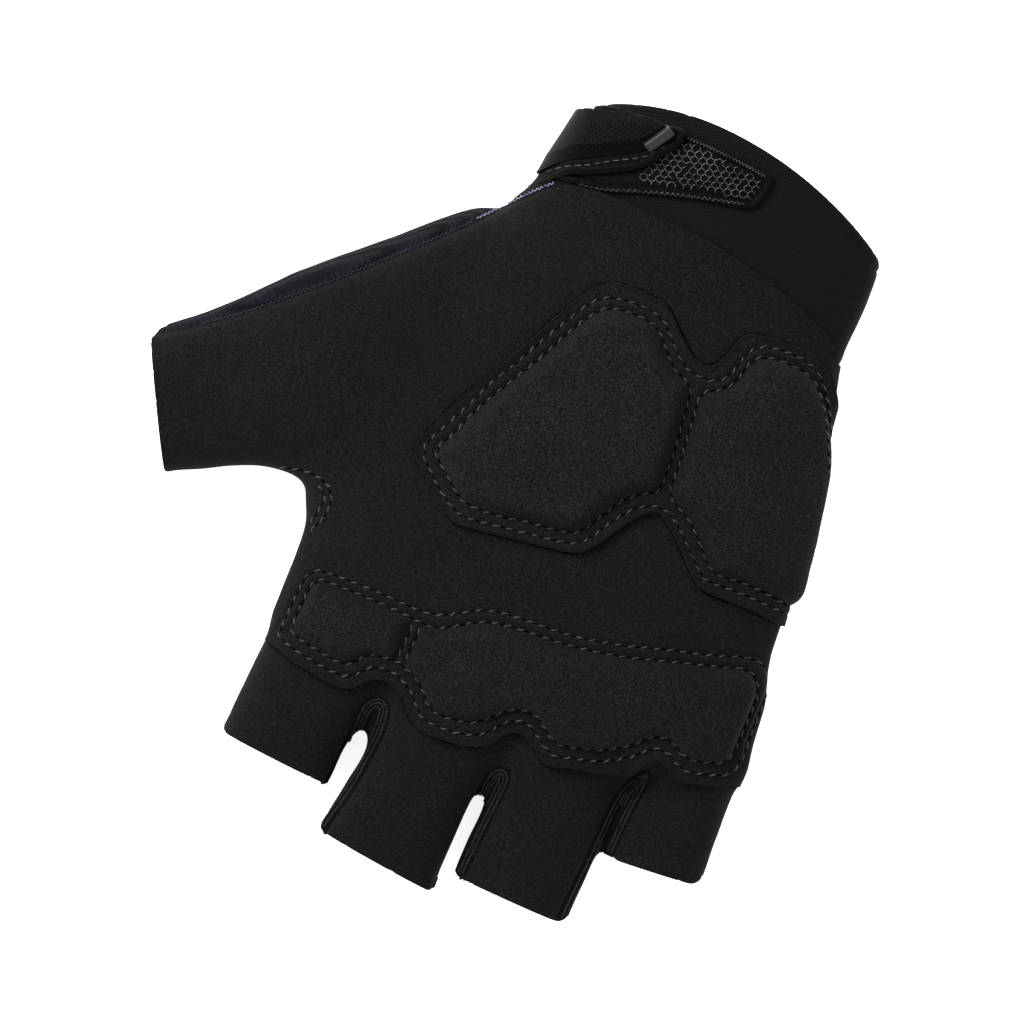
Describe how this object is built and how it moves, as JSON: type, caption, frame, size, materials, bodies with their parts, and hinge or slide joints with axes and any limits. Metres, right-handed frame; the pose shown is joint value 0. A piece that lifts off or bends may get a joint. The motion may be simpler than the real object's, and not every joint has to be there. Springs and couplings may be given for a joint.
{
  "type": "cycling glove",
  "caption": "Right-hand fingerless cycling glove with cushioned suede palm, knit back, stretch cuff and a hook-and-loop wrist strap.",
  "frame": {"origin": "on the flat resting face of the back of the glove, under the middle of the palm", "axes": "+Z from the back of the hand to the palm, +Y from the wrist to the fingers, +X towards the thumb"},
  "size_m": [0.1502, 0.1678, 0.0309],
  "materials": {
    "suede": "speckled synthetic suede, matt",
    "back_knit": "brushed knit, matt",
    "cuff_knit": "fine stretch knit, matt",
    "rib_knit": "ribbed knit, matt",
    "webbing": "bound strap fabric, matt",
    "hooks": "hook tape, shiny filaments",
    "grip_rubber": "moulded, satin",
    "tip_gloss": "glossy"
  },
  "bodies": {
    "root": {"palm_panel": "suede", "finger_fronts": "suede", "back_panel": "back_knit", "cuff": "cuff_knit", "fourchette_index_middle": "rib_knit", "fourchette_middle_ring": "rib_knit", "fourchette_ring_little": "rib_knit", "heel_pad": "suede", "hook_patch": "hooks", "closure_strap": "webbing", "tab_grip": "grip_rubber", "tab_tip_bar": "tip_gloss"}
  },
  "joints": []
}
